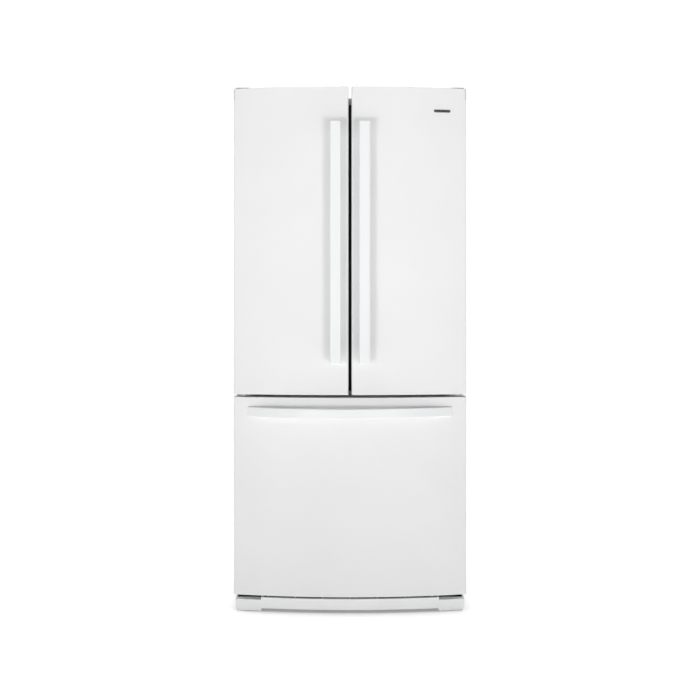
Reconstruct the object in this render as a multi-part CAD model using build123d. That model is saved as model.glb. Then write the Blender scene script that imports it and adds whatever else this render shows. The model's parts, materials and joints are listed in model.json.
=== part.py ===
from build123d import *
import math
import os

# French door refrigerator, millimetres.
# +X is the viewer's right, the doors face -Y, +Z is up, and the floor is z = 0.

# ---------------------------------------------------------------- overall sizes
DOOR_SPAN = 756.0            # both doors together, and the drawer front
OVERALL_DEPTH = 845.0
DOOR_TOP = 1698.0
DOOR_BOTTOM = 706.5
DRAWER_TOP = 697.5
DRAWER_BOTTOM = 56.5
CABINET_WIDTH = 748.0
CABINET_TOP = 1680.0
CABINET_BOTTOM = 48.0
BOW = 38.0                   # how far the crown stands in front of the door edges
HANDLE_REACH = 58.0          # door handle face in front of the crown
CROWN_TO_FLANGE = 113.0
DOOR_AIR_GAP = 13.0          # door back to cabinet front, filled by the gasket
HALF_GAP = 5.0               # half of the gap between the two doors

# ---------------------------------------------------------------- sheet and wall sizes
SKIN = 1.0
LINER = 2.5
CABINET_LINER = 3.0
SIDE_WALL = 45.0
RETURN = 8.0                 # folded edge of a door skin
CAP_HEIGHT = 24.0

# ---------------------------------------------------------------- compartments
FRIDGE_FLOOR = 735.0
FRIDGE_CEILING = 1648.0
FREEZER_FLOOR = 135.0
FREEZER_CEILING = 668.0
BOTTOM_PAN_TOP = 95.0

# ---------------------------------------------------------------- moving parts
PIVOT_X = 350.0
PIVOT_BEHIND_FLANGE = -45.0
PIN_RADIUS = 5.0
RUNNING_CLEARANCE = 0.06
SHELF_HEIGHTS = (1090.0, 1255.0, 1420.0)
LOW_BIN = (778.0, 100.0, 72.0)       # bottom height, wall height, reach into the cabinet
MIDDLE_BIN = (1030.0, 105.0, 112.0)
TOP_BIN = (1330.0, 95.0, 112.0)

# ---------------------------------------------------------------- worked-out values
HALF = DOOR_SPAN / 2
HALF_CABINET = CABINET_WIDTH / 2
FRONT_Y = -OVERALL_DEPTH / 2
REAR_Y = OVERALL_DEPTH / 2
CROWN_Y = FRONT_Y + HANDLE_REACH
FLANGE_Y = CROWN_Y + CROWN_TO_FLANGE
DOOR_BACK_Y = FLANGE_Y - DOOR_AIR_GAP
BOW_RADIUS = (HALF ** 2 + BOW ** 2) / (2 * BOW)
BOW_CENTRE_Y = CROWN_Y + BOW_RADIUS
PIVOT_Y = FLANGE_Y + PIVOT_BEHIND_FLANGE
INNER_HALF = HALF_CABINET - SIDE_WALL
SHEET_REAR_Y = REAR_Y - 5.5
FRIDGE_REAR_Y = 350.0
FREEZER_REAR_Y = 330.0
MACHINE_FRONT_Y = 205.0
MACHINE_TOP = 290.0
GASKET_BACK_Y = FLANGE_Y - 0.3

parts = {}


# ---------------------------------------------------------------- small helpers
def block(x0, x1, y0, y1, z0, z1):
    """A box between two corners."""
    size = Box(abs(x1 - x0), abs(y1 - y0), abs(z1 - z0))
    return Pos((x0 + x1) / 2, (y0 + y1) / 2, (z0 + z1) / 2) * size


def rod_z(x, y, z0, z1, radius):
    return Pos(x, y, (z0 + z1) / 2) * Cylinder(radius, abs(z1 - z0))


def rod_y(x, y0, y1, z, radius):
    return Pos(x, (y0 + y1) / 2, z) * Rot(90, 0, 0) * Cylinder(radius, abs(y1 - y0))


def rod_x(x0, x1, y, z, radius):
    return Pos((x0 + x1) / 2, y, z) * Rot(0, 90, 0) * Cylinder(radius, abs(x1 - x0))


def mirror_x(shape):
    return mirror(shape, about=Plane.YZ)


def both_sides(shape):
    return [shape, mirror_x(shape)]


def bow_y(x, inset=0.0):
    """Where the bowed front lies at a given x."""
    return BOW_CENTRE_Y - math.sqrt((BOW_RADIUS - inset) ** 2 - x ** 2)


def bow_disc(z0, z1, inset=0.0):
    return rod_z(0, BOW_CENTRE_Y, z0, z1, BOW_RADIUS - inset)


def bowed_block(x0, x1, y_back, z0, z1, inset=0.0, corner=0.0):
    """A block whose front follows the bow, with rounded front upright edges."""
    solid = block(x0, x1, FRONT_Y, y_back, z0, z1) & bow_disc(z0, z1, inset)
    if corner > 0:
        uprights = solid.edges().filter_by(Axis.Z).sort_by(Axis.Y)[:2]
        solid = fillet(uprights, corner)
    return solid


def tray(x0, x1, y0, y1, z0, z1, wall):
    """An open-topped box."""
    inside = block(x0 + wall, x1 - wall, y0 + wall, y1 - wall, z0 + wall, z1 + wall)
    return block(x0, x1, y0, y1, z0, z1) - inside


def rounded_upright(solid, radius):
    return fillet(solid.edges().filter_by(Axis.Z), radius)


def ring_xz(x0, x1, z0, z1, y0, y1, width):
    """A rectangular frame standing in the XZ plane."""
    hole = block(x0 + width, x1 - width, y0 - 1, y1 + 1, z0 + width, z1 - width)
    return block(x0, x1, y0, y1, z0, z1) - hole


# ================================================================ cabinet shell
FOLD_RADIUS = 5.0


def top_folds(solid):
    """The two long upper edges, where the sheet is folded down the sides."""
    return solid.edges().filter_by(Axis.Y).group_by(Axis.Z)[-1]


def cabinet_hollow(y0, y1, z0):
    """Everything inside the folded sheet."""
    space = block(-HALF_CABINET + SKIN, HALF_CABINET - SKIN, y0, y1, z0, CABINET_TOP - SKIN)
    return fillet(top_folds(space), FOLD_RADIUS - SKIN)


def cabinet_wrapper():
    """Folded sheet: two sides and the top, with a narrow return round the front."""
    outer = block(-HALF_CABINET, HALF_CABINET, FLANGE_Y, SHEET_REAR_Y, CABINET_BOTTOM, CABINET_TOP)
    outer = fillet(top_folds(outer), FOLD_RADIUS)
    hollow = cabinet_hollow(FLANGE_Y + SKIN, REAR_Y, 0)
    flange = 18.0
    window = block(-HALF_CABINET + flange, HALF_CABINET - flange, FLANGE_Y - 1, FLANGE_Y + 2,
                   0, CABINET_TOP - flange)
    shell = outer - hollow - window
    for x, y in top_hinge_screws():
        shell -= rod_z(x, y, CABINET_TOP - 2, CABINET_TOP + 1, 2.6)
        shell -= rod_z(-x, y, CABINET_TOP - 2, CABINET_TOP + 1, 2.6)
    return shell


def fridge_cavity(grow=0.0):
    return block(-INNER_HALF - grow, INNER_HALF + grow, FLANGE_Y - 20, FRIDGE_REAR_Y + grow,
                 FRIDGE_FLOOR - grow, FRIDGE_CEILING + grow)


def freezer_cavity(grow=0.0):
    upper = block(-INNER_HALF - grow, INNER_HALF + grow, FLANGE_Y - 20, FREEZER_REAR_Y + grow,
                  335.0 - grow, FREEZER_CEILING + grow)
    lower = block(-INNER_HALF - grow, INNER_HALF + grow, FLANGE_Y - 20, 160.0 + grow,
                  FREEZER_FLOOR - grow, 400.0)
    return upper + lower


def behind_flange(y):
    return block(-HALF, HALF, y, REAR_Y, 0, DOOR_TOP)


def fridge_liner():
    """Moulded food liner with its own front flange and shelf-height ribs on the side walls."""
    flange = block(-HALF_CABINET + 18, HALF_CABINET - 18, FLANGE_Y, FLANGE_Y + CABINET_LINER,
                   FRIDGE_FLOOR - 3, CABINET_TOP - 18)
    shell = (fridge_cavity(CABINET_LINER) & behind_flange(FLANGE_Y)) + flange
    shell -= fridge_cavity()
    for z in (1000.0, 1165.0, 1330.0, 1495.0):
        rib = block(INNER_HALF - 3, INNER_HALF, -120, 300, z, z + 10)
        shell += rib
        shell += mirror_x(rib)
    return shell


def freezer_liner():
    """Stepped freezer liner: the lower part is shallower, to clear the machine compartment."""
    flange = block(-HALF_CABINET + 18, HALF_CABINET - 18, FLANGE_Y, FLANGE_Y + CABINET_LINER,
                   BOTTOM_PAN_TOP, FREEZER_CEILING + 3)
    shell = (freezer_cavity(CABINET_LINER) & behind_flange(FLANGE_Y)) + flange
    shell -= freezer_cavity()
    ledge = block(INNER_HALF - 15, INNER_HALF, -200, 300, 462, 470)
    shell += ledge
    shell += mirror_x(ledge)
    return shell


def insulation_foam():
    """Foam that fills everything between the wrapper and the two liners."""
    foam = cabinet_hollow(FLANGE_Y + CABINET_LINER, SHEET_REAR_Y, BOTTOM_PAN_TOP)
    foam -= block(-HALF, HALF, MACHINE_FRONT_Y, REAR_Y, 0, MACHINE_TOP)
    foam -= fridge_cavity(CABINET_LINER)
    foam -= freezer_cavity(CABINET_LINER)
    foam -= block(-HALF, HALF, FLANGE_Y, FLANGE_Y + 8, FREEZER_CEILING + 3, FRIDGE_FLOOR - 3)
    for x, y in top_hinge_screws():
        foam -= rod_z(x, y, CABINET_TOP - 12, CABINET_TOP, 2.6)
        foam -= rod_z(-x, y, CABINET_TOP - 12, CABINET_TOP, 2.6)
    for x, z in rear_cover_screws():
        foam -= rod_y(x, SHEET_REAR_Y - 6, SHEET_REAR_Y, z, 2.6)
    return foam


def center_rail():
    """Steel rail across the front between the compartments, with seats for the lower hinges."""
    rail = block(-HALF_CABINET + SKIN, HALF_CABINET - SKIN, FLANGE_Y, FLANGE_Y + 8,
                 FREEZER_CEILING + 3, FRIDGE_FLOOR - 3)
    rail -= block(-HALF_CABINET, -HALF_CABINET + 18, FLANGE_Y - 1, FLANGE_Y + SKIN, 0, CABINET_TOP)
    rail -= block(HALF_CABINET - 18, HALF_CABINET, FLANGE_Y - 1, FLANGE_Y + SKIN, 0, CABINET_TOP)
    seat = block(286, 356, FLANGE_Y - 1, FLANGE_Y + 3, 680, 724)
    rail -= seat
    rail -= mirror_x(seat)
    for x, z in center_hinge_screws():
        rail -= rod_y(x, FLANGE_Y, FLANGE_Y + 9, z, 2.1)
        rail -= rod_y(-x, FLANGE_Y, FLANGE_Y + 9, z, 2.1)
    return rail


def rear_panels():
    """Upper rear sheet with raised ribs, and the louvred cover of the machine compartment."""
    sheet = SHEET_REAR_Y + 1
    upper = block(-HALF_CABINET, HALF_CABINET, SHEET_REAR_Y, sheet, MACHINE_TOP + 16, CABINET_TOP)
    for x in (-300, -180, -60, 60, 180, 300):
        upper += block(x - 18, x + 18, sheet, sheet + 3, 380, 1600)
    for x in (-250, 250):
        upper += block(x - 12, x + 12, sheet, REAR_Y, 1625, 1650)
    lower = block(-HALF_CABINET, HALF_CABINET, SHEET_REAR_Y, sheet, CABINET_BOTTOM, MACHINE_TOP + 15)
    lower += block(-HALF_CABINET, HALF_CABINET, sheet, sheet + 2, MACHINE_TOP, MACHINE_TOP + 15)
    for row in range(9):
        for column in (-270, -160, 70, 180, 290):
            z = 90 + row * 20
            lower -= block(column - 42, column + 42, SHEET_REAR_Y - 1, sheet + 1, z, z + 7)
    lower -= block(-60, -10, SHEET_REAR_Y - 1, sheet + 1, 200, 232)
    for x, z in rear_cover_screws():
        lower -= rod_y(x, SHEET_REAR_Y - 1, REAR_Y, z, 2.6)
    return [upper, lower]


# ================================================================ hinges and screws
def top_hinge_screws():
    return [(338.0, -236.0), (362.0, -236.0), (350.0, -196.0)]


def center_hinge_screws():
    return [(300.0, 716.0), (330.0, 716.0), (300.0, 688.0), (330.0, 688.0)]


def rear_cover_screws():
    high = [(x, MACHINE_TOP + 8.0) for x in (-350.0, -120.0, 120.0, 350.0)]
    low = [(x, CABINET_BOTTOM + 9.0) for x in (-350.0, -120.0, 120.0, 350.0)]
    return high + low


def top_hinge():
    """Cranked plate: screwed to the cabinet top, stepping up over the door, with a pin."""
    foot = block(330, 370, FLANGE_Y, -180, CABINET_TOP, CABINET_TOP + 3)
    riser = block(330, 370, FLANGE_Y, FLANGE_Y + 3, CABINET_TOP, 1702)
    arm = block(334, 366, PIVOT_Y - 4, FLANGE_Y + 1, 1699, 1702)
    nose = rod_z(PIVOT_X, PIVOT_Y, 1699, 1702, 14)
    pin = rod_z(PIVOT_X, PIVOT_Y, 1677, 1700, PIN_RADIUS)
    plate = foot + riser + arm + nose + pin
    for x, y in top_hinge_screws():
        plate -= rod_z(x, y, CABINET_TOP - 1, CABINET_TOP + 4, 2.6)
    return plate


def center_hinge():
    """Bracket set flush in the rail, with an arm in the gap and a pin up into the door."""
    flange = block(286.3, 355.7, FLANGE_Y, FLANGE_Y + 3, 680.3, 723.7)
    arm = block(286.3, 366, PIVOT_Y - 2, FLANGE_Y, 699.5, 704.5)
    root = block(286.3, 355.7, FLANGE_Y - 1, FLANGE_Y + 1, 699.5, 704.5)
    taper = Pos(286.3, PIVOT_Y - 2, 702) * Rot(0, 0, 45) * Box(56, 56, 8)
    nose = rod_z(PIVOT_X, PIVOT_Y, 699.5, 704.5, 14)
    pin = rod_z(PIVOT_X, PIVOT_Y, 703, 726, PIN_RADIUS)
    washer = rod_z(PIVOT_X, PIVOT_Y, 704.5, 706.0, 9)
    bracket = flange + (arm - taper) + root + nose + pin + washer
    for x, z in center_hinge_screws():
        bracket -= rod_y(x, FLANGE_Y - 1, FLANGE_Y + 4, z, 2.1)
        bracket -= rod_y(x, FLANGE_Y - 1, FLANGE_Y + 1.6, z, 4.1)
    return bracket


def hinge_cover():
    """Plastic cap over the upper hinge, low over the door and taller behind it."""
    front = block(328, 372, PIVOT_Y - 16, -249, 1702.3, 1704.3)
    rear = block(326, 373.5, -252, -170, CABINET_TOP, 1712)
    rear = fillet(rear.edges().filter_by(Axis.Z).sort_by(Axis.Y)[-2:], 8)
    rear = fillet(rear.faces().sort_by(Axis.Z)[-1].edges(), 2.5)
    rear -= block(328.4, 371.6, -248.3, -173, CABINET_TOP - 1, 1705)
    rear -= block(328.4, 371.6, -260, -248, CABINET_TOP - 1, 1702.3)
    return rear + front


def pan_screw(head_radius, head_height, shank_radius, shank_length):
    """Pan-head screw along Z, seated at z = 0, with a cross recess."""
    head = Pos(0, 0, head_height / 2) * Cylinder(head_radius, head_height)
    head = fillet(head.edges().sort_by(Axis.Z)[-1:], head_height * 0.4)
    recess = Box(head_radius * 1.1, 0.9, head_height) + Box(0.9, head_radius * 1.1, head_height)
    head -= Pos(0, 0, head_height) * recess
    shank = Pos(0, 0, -shank_length / 2) * Cylinder(shank_radius, shank_length)
    return head + shank


def cabinet_screws():
    screws = []
    for x, y in top_hinge_screws():
        for side in (-1, 1):
            screws.append(Pos(side * x, y, CABINET_TOP + 3) * pan_screw(4.5, 2.6, 2.5, 12))
    for x, z in center_hinge_screws():
        for side in (-1, 1):
            screws.append(Pos(side * x, FLANGE_Y + 1.6, z) * Rot(90, 0, 0)
                          * pan_screw(3.9, 1.4, 2.0, 6))
    for x, z in rear_cover_screws():
        seat = SHEET_REAR_Y + (3 if z > MACHINE_TOP else 1)
        screws.append(Pos(x, seat, z) * Rot(-90, 0, 0) * pan_screw(4.5, 2.4, 2.5, 7))
    return screws


# ================================================================ doors (right one drawn)
DOOR_INNER_X = HALF_GAP
NOTCH_WIDTH = 5.0
NOTCH_HEIGHT = 37.0


def door_outline(inset, y_back, z0, z1):
    return bowed_block(DOOR_INNER_X + inset, HALF - inset, y_back, z0, z1, inset, 6.0 - inset)


def door_skin():
    """Bowed steel face folded round the sides, with a narrow return at the back."""
    outer = door_outline(0, DOOR_BACK_Y, DOOR_BOTTOM, DOOR_TOP)
    inner = door_outline(SKIN, DOOR_BACK_Y - SKIN, DOOR_BOTTOM - 1, DOOR_TOP + 1)
    mouth = block(DOOR_INNER_X + RETURN, HALF - RETURN, DOOR_BACK_Y - 3, DOOR_BACK_Y + 1,
                  DOOR_BOTTOM - 1, DOOR_TOP + 1)
    notch = block(HALF - NOTCH_WIDTH, HALF + 1, FRONT_Y, DOOR_BACK_Y + 1,
                  DOOR_TOP - NOTCH_HEIGHT, DOOR_TOP + 1)
    return outer - inner - mouth - notch


def door_caps():
    """Plastic plugs that close the top and bottom, bored for the hinge pins."""
    liner_front = DOOR_BACK_Y - SKIN - LINER
    top = door_outline(SKIN, DOOR_BACK_Y - SKIN, DOOR_TOP - CAP_HEIGHT, DOOR_TOP - 1.5)
    tab = door_outline(0, DOOR_BACK_Y, DOOR_TOP - NOTCH_HEIGHT, DOOR_TOP - 0.5)
    tab &= block(HALF - NOTCH_WIDTH, HALF + 1, FRONT_Y, DOOR_BACK_Y, 0, DOOR_TOP)
    top = top + tab
    top -= rod_z(PIVOT_X, PIVOT_Y, 1674, DOOR_TOP + 1, PIN_RADIUS + RUNNING_CLEARANCE)
    bottom = door_outline(SKIN, liner_front, DOOR_BOTTOM + 1.0, DOOR_BOTTOM + CAP_HEIGHT + 1)
    bottom += block(DOOR_INNER_X + SKIN, HALF - SKIN, liner_front - 1, DOOR_BACK_Y - SKIN,
                    DOOR_BOTTOM + 1.0, DOOR_BOTTOM + 3.0)
    bottom -= rod_z(PIVOT_X, PIVOT_Y, DOOR_BOTTOM - 1, 728, PIN_RADIUS + RUNNING_CLEARANCE)
    return [top, bottom]


DIKE = (40.0, 318.0, 745.0, 1622.0)      # x and z limits of the raised frame
DIKE_WIDTH = 28.0
DIKE_REACH = 48.0


def door_dike(inset, y0, y1):
    x0, x1, z0, z1 = DIKE
    outer = block(x0 + inset, x1 - inset, y0, y1, z0 + inset, z1 - inset)
    outer = fillet(outer.edges().filter_by(Axis.Y), 14 - inset)
    hole = block(x0 + DIKE_WIDTH - inset, x1 - DIKE_WIDTH + inset, y0 - 1, y1 + 1,
                 z0 + DIKE_WIDTH - inset, z1 - DIKE_WIDTH + inset)
    hole = fillet(hole.edges().filter_by(Axis.Y), 8)
    return outer - hole


def bin_lug_heights():
    return [low + 18.0 for low, _, _ in (LOW_BIN, MIDDLE_BIN, TOP_BIN)]


def door_liner():
    """Moulded inner face: flat rim, hollow raised frame and ledges that carry the bins."""
    y1 = DOOR_BACK_Y - SKIN
    y0 = y1 - LINER
    z0 = DOOR_BOTTOM + 3.0
    z1 = DOOR_TOP - CAP_HEIGHT
    plate = block(DOOR_INNER_X + SKIN + 0.2, HALF - SKIN - 0.2, y0, y1, z0, z1)
    top_of_dike = DOOR_BACK_Y + DIKE_REACH
    raised = door_dike(0, y0, top_of_dike)
    liner = plate + raised
    liner -= door_dike(LINER, y0 - 1, top_of_dike - LINER)
    liner -= block(HALF - NOTCH_WIDTH, HALF, y0 - 1, y1 + 1, DOOR_TOP - NOTCH_HEIGHT, DOOR_TOP)
    x0, x1, _, _ = DIKE
    for z in bin_lug_heights():
        for x in (x0 + DIKE_WIDTH, x1 - DIKE_WIDTH - 4):
            liner += block(x, x + 4, DOOR_BACK_Y + 6, DOOR_BACK_Y + 40, z, z + 26)
    return liner


def door_foam():
    y_back = DOOR_BACK_Y - SKIN - LINER
    z0 = DOOR_BOTTOM + CAP_HEIGHT + 1
    z1 = DOOR_TOP - NOTCH_HEIGHT
    foam = door_outline(SKIN, y_back, z0, z1)
    foam += block(DOOR_INNER_X + 2, HALF - NOTCH_WIDTH - 2, -318, y_back, z1 - 1, DOOR_TOP - CAP_HEIGHT)
    return foam + door_dike(LINER, y_back - 1, DOOR_BACK_Y + DIKE_REACH - LINER)


def door_gasket():
    """Magnetic seal: flat base all round, narrow bulb that meets the cabinet, centre lip."""
    base_front = DOOR_BACK_Y - SKIN
    base_back = DOOR_BACK_Y + 4.5
    x0 = DOOR_INNER_X + 9.5
    x1 = HALF - 9.5
    z0 = DOOR_BOTTOM + 6
    z1 = DOOR_TOP - CAP_HEIGHT - 1.0
    base = ring_xz(x0, x1, z0, z1, base_front, base_back, 17)
    bulb = ring_xz(x0 + 2, 352, z0 + 2, z1 - 2, base_back - 0.5, GASKET_BACK_Y, 11)
    bulb_back = bulb.faces().sort_by(Axis.Y)[-1]
    bulb = fillet(bulb_back.edges(), 2.5)
    lip = block(2, x0 + 2, DOOR_BACK_Y + 0.1, DOOR_BACK_Y + 2.5, z0, 1659)
    weld = block(3, x0 + 2, DOOR_BACK_Y + 0.1, DOOR_BACK_Y + 2.5, z1 - 9, z1)
    return base + bulb + lip + weld


HANDLE_X = 46.5
HANDLE_WIDTH = 35.0
HANDLE_LOW = 809.0
HANDLE_HIGH = 1581.0
HANDLE_THICKNESS = 17.0


def door_handle():
    """Straight flat bar on two posts that meet the bowed face."""
    bar = block(HANDLE_X - HANDLE_WIDTH / 2, HANDLE_X + HANDLE_WIDTH / 2, FRONT_Y,
                FRONT_Y + HANDLE_THICKNESS, HANDLE_LOW, HANDLE_HIGH)
    bar = fillet(bar.edges().filter_by(Axis.Z), 4.5)
    bar = fillet(bar.edges().group_by(Axis.Z)[0] + bar.edges().group_by(Axis.Z)[-1], 3.0)
    for z in (HANDLE_LOW + 34, HANDLE_HIGH - 34):
        post = block(HANDLE_X - 13, HANDLE_X + 13, FRONT_Y + 8, CROWN_Y + 10, z - 26, z + 26)
        post = fillet(post.edges().filter_by(Axis.Y), 6)
        bar += post
    return bar - bow_disc(HANDLE_LOW - 5, HANDLE_HIGH + 5, -0.05)


def door_bin(low, height, reach):
    """Clear bin with a thicker front rim, notched to sit over the liner ledges."""
    x0 = DIKE[0] + DIKE_WIDTH + 0.6
    x1 = DIKE[1] - DIKE_WIDTH - 0.6
    y0 = DOOR_BACK_Y + 2.0
    y1 = DOOR_BACK_Y + reach
    body = tray(x0, x1, y0, y1, low, low + height, LINER)
    rim = block(x0, x1, y1 - 5, y1, low + height - 14, low + height)
    foot = block(x0 + 20, x1 - 20, y1 - 1, y1 + 1.0, low + 10, low + height - 24)
    body = body + rim + foot
    for x in (x0, x1):
        body -= block(x - 4.2, x + 4.2, y0 - 1, DOOR_BACK_Y + 41, low - 1, low + 44.5)
        wall = block(min(x, x + math.copysign(7, 180 - x)), max(x, x + math.copysign(7, 180 - x)),
                     y0, DOOR_BACK_Y + 43, low, low + 47)
        hollow = block(x - 4.2, x + 4.2, y0 - 1, DOOR_BACK_Y + 40.5, low - 1, low + 44.5)
        body += wall - hollow
    return body


def door_bins():
    return [door_bin(*LOW_BIN), door_bin(*MIDDLE_BIN), door_bin(*TOP_BIN)]


def badge():
    """Small plain pill near the top of the right door."""
    width = 54.0
    height = 9.0
    z = 1623.0
    x = 298.0
    plate = block(x - width / 2, x + width / 2, -400, -300, z - height / 2, z + height / 2)
    plate = fillet(plate.edges().filter_by(Axis.Y), height / 2 - 0.3)
    return (plate & bow_disc(z - 10, z + 10, -1.2)) - bow_disc(z - 12, z + 12, -0.05)


# ================================================================ folding centre mullion
MULLION_X = -18.0
MULLION_Y = FLANGE_Y + 11.0
MULLION_LOW = 742.0
MULLION_HIGH = 1634.0
MULLION_EARS = (800.0, 1188.0, 1560.0)


def flipper_mullion():
    """Folded flat behind the left door's edge; it swings out to bridge the two doors."""
    bar = block(MULLION_X - 8, MULLION_X + 8, MULLION_Y - 8, MULLION_Y + 40, MULLION_LOW, MULLION_HIGH)
    bar = fillet(bar.edges().filter_by(Axis.Z), 4)
    bar -= block(MULLION_X + 6.5, MULLION_X + 9, MULLION_Y, MULLION_Y + 32, MULLION_LOW + 12,
                 MULLION_HIGH - 12)
    for z in MULLION_EARS:
        bar -= block(MULLION_X - 9, MULLION_X + 9, MULLION_Y - 9, MULLION_Y + 10, z - 9, z + 9)
        bar += rod_z(MULLION_X, MULLION_Y, z - 10, z + 10, 2.5)
    return bar


def mullion_ears():
    """Three arms on the left door liner that carry the mullion's pins."""
    ears = []
    for z in MULLION_EARS:
        arm = block(-41, MULLION_X, MULLION_Y - 4.5, MULLION_Y + 4.5, z - 7, z + 7)
        arm += rod_z(MULLION_X, MULLION_Y, z - 7, z + 7, 6.0)
        arm -= rod_z(MULLION_X, MULLION_Y, z - 8, z + 8, 2.5 + RUNNING_CLEARANCE)
        ears.append(arm)
    return ears


def mullion_guide():
    """Block under the ceiling whose curved slot steers the mullion's top end."""
    guide = block(-34, 34, FLANGE_Y + 0.5, -196, 1638, FRIDGE_CEILING)
    guide = fillet(guide.edges().filter_by(Axis.Z), 6)
    slot = Pos(0, -225, 1640) * (Cylinder(15, 5) - Cylinder(9, 5))
    slot &= block(-20, 20, -245, -225, 1630, 1645)
    return guide - slot


# ================================================================ inside the fresh-food space
LADDER_X = (-308.0, -84.0, 84.0, 308.0)
GLASS_FRONT_Y = -112.0
SHELF_REAR_Y = 330.0
CRISPER_FRONT_Y = -122.0


def shelf_ladders():
    """Slotted steel uprights on the rear wall."""
    ladders = []
    for x in LADDER_X:
        rail = block(x - 8, x + 8, FRIDGE_REAR_Y - 10, FRIDGE_REAR_Y, 985, 1600)
        rail -= block(x - 5, x + 5, FRIDGE_REAR_Y - 7, FRIDGE_REAR_Y + 1, 986, 1599)
        for step in range(18):
            z = 1000 + step * 33
            rail -= block(x - 2.5, x + 2.5, FRIDGE_REAR_Y - 11, FRIDGE_REAR_Y - 6, z, z + 16)
        ladders.append(rail)
    return ladders


def shelf_frame(side, z):
    """Rim round one half-width shelf, with two tapered brackets hooked to the ladders."""
    x0, x1 = sorted((side * 6.0, side * 322.0))
    rim = block(x0, x1, GLASS_FRONT_Y - 8, SHELF_REAR_Y, z, z + 14)
    rim -= block(x0 + 10, x1 - 10, GLASS_FRONT_Y + 4, SHELF_REAR_Y - 10, z - 1, z + 15)
    rim -= block(x0 + 6, x1 - 6, GLASS_FRONT_Y, SHELF_REAR_Y - 6, z + 8, z + 15)
    front = rim.edges().filter_by(Axis.X).sort_by(Axis.Y)[:2]
    rim = fillet(front, 3)
    for x in (side * 84.0, side * 308.0):
        arm = block(x - 1.5, x + 1.5, 60, FRIDGE_REAR_Y - 10.2, z - 34, z + 6)
        cut = Pos(x, 60, z - 40) * Rot(-7.3, 0, 0) * Box(10, 640, 34)
        rim += arm - cut
    return rim


def shelf_frames():
    return [shelf_frame(side, z) for z in SHELF_HEIGHTS for side in (-1, 1)]


def shelf_glass():
    panes = []
    for z in SHELF_HEIGHTS:
        for side in (-1, 1):
            x0, x1 = sorted((side * 6.0, side * 322.0))
            panes.append(block(x0 + 6.3, x1 - 6.3, GLASS_FRONT_Y + 0.3, SHELF_REAR_Y - 6.3,
                               z + 8, z + 12))
    return panes


CRISPER_TOP = 925.0
COVER_Z = 932.0
SLIDER_X = 165.0


def crisper_cover():
    """Glass-look lid over the crispers on a frame whose legs stand on the liner floor."""
    lid = block(-326, 326, -118, 340, COVER_Z, COVER_Z + 16)
    lid -= block(-312, 312, -96, 326, COVER_Z + 10, COVER_Z + 17)
    lid -= block(-312, -12, -96, 326, COVER_Z - 1, COVER_Z + 5)
    lid -= block(12, 312, -96, 326, COVER_Z - 1, COVER_Z + 5)
    for side in (-1, 1):
        centre = side * SLIDER_X
        lid -= block(centre - 45, centre + 45, -119, -111, COVER_Z + 3, COVER_Z + 13)
    lid = fillet(lid.edges().filter_by(Axis.X).sort_by(Axis.Y)[:1], 2)
    wall = block(-3, 3, -100, 330, FRIDGE_FLOOR, COVER_Z)
    lid += wall
    for side in (-1, 1):
        x0, x1 = sorted((side * 324.2, side * 328.8))
        lid += block(x0, x1, -100, 330, FRIDGE_FLOOR, COVER_Z)
    return lid


def humidity_slider(side):
    """Thumb slider in the lid's front slot, drawn at its inner stop."""
    x = side * (SLIDER_X - 20)
    body = block(x - 22, x + 22, -118.6, -111.3, COVER_Z + 3.3, COVER_Z + 12.7)
    knob = block(x - 5, x + 5, -122.5, -118, COVER_Z + 4.5, COVER_Z + 11.5)
    knob = fillet(knob.edges().filter_by(Axis.Z), 1.5)
    return body + knob


def crisper(side):
    """Deep bin with a thick front, a pull lip and runners under its sides."""
    x0, x1 = sorted((side * 6.0, side * 321.5))
    base = FRIDGE_FLOOR + 1.0
    body = block(x0, x1, CRISPER_FRONT_Y, 315, base, CRISPER_TOP)
    body = fillet(body.edges().filter_by(Axis.Z), 10)
    hollow = block(x0 + 3, x1 - 3, CRISPER_FRONT_Y + 5, 312, base + 3, CRISPER_TOP + 1)
    hollow = fillet(hollow.edges().filter_by(Axis.Z), 8)
    body -= hollow
    middle = (x0 + x1) / 2
    lip = block(middle - 90, middle + 90, CRISPER_FRONT_Y - 9, CRISPER_FRONT_Y + 3,
                CRISPER_TOP - 12, CRISPER_TOP)
    lip -= block(middle - 84, middle + 84, CRISPER_FRONT_Y - 6, CRISPER_FRONT_Y,
                 CRISPER_TOP - 13, CRISPER_TOP - 4)
    return body + lip


def control_housing():
    """Ceiling pod that carries the light and two temperature buttons."""
    pod = block(-150, 150, -150, 110, 1612, FRIDGE_CEILING)
    pod = fillet(pod.edges().filter_by(Axis.Z), 16)
    pod -= block(-110, 110, -20, 95, 1600, 1640)
    pod -= block(-28, 28, -151, -148.5, 1620, 1640)
    for x in BUTTON_X:
        pod -= rod_y(x, -160, -140, 1630, 8.35)
    return pod


BUTTON_X = (-55.0, 55.0)
BUTTON_TRAVEL = 1.2


def temperature_button(x):
    button = rod_y(x, -152.5, -142, 1630, 8.0)
    return fillet(button.edges().sort_by(Axis.Y)[:1], 1.0)


def light_lens():
    lens = block(-109.5, 109.5, -19.5, 94.5, 1614, 1617)
    for step in range(9):
        x = -96 + step * 24
        lens += block(x - 4, x + 4, -16, 91, 1612.5, 1614.5)
    return lens


def air_duct_cover():
    """Raised duct down the rear wall with paired vents."""
    duct = block(-66, 66, 338, FRIDGE_REAR_Y, 960, 1604)
    duct = fillet(duct.edges().filter_by(Axis.Y), 12)
    for step in range(7):
        z = 1010 + step * 84
        for x in (-34, 34):
            duct -= block(x - 22, x + 22, 330, 346, z, z + 5)
            duct -= block(x - 22, x + 22, 330, 346, z + 10, z + 15)
    return duct


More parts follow.
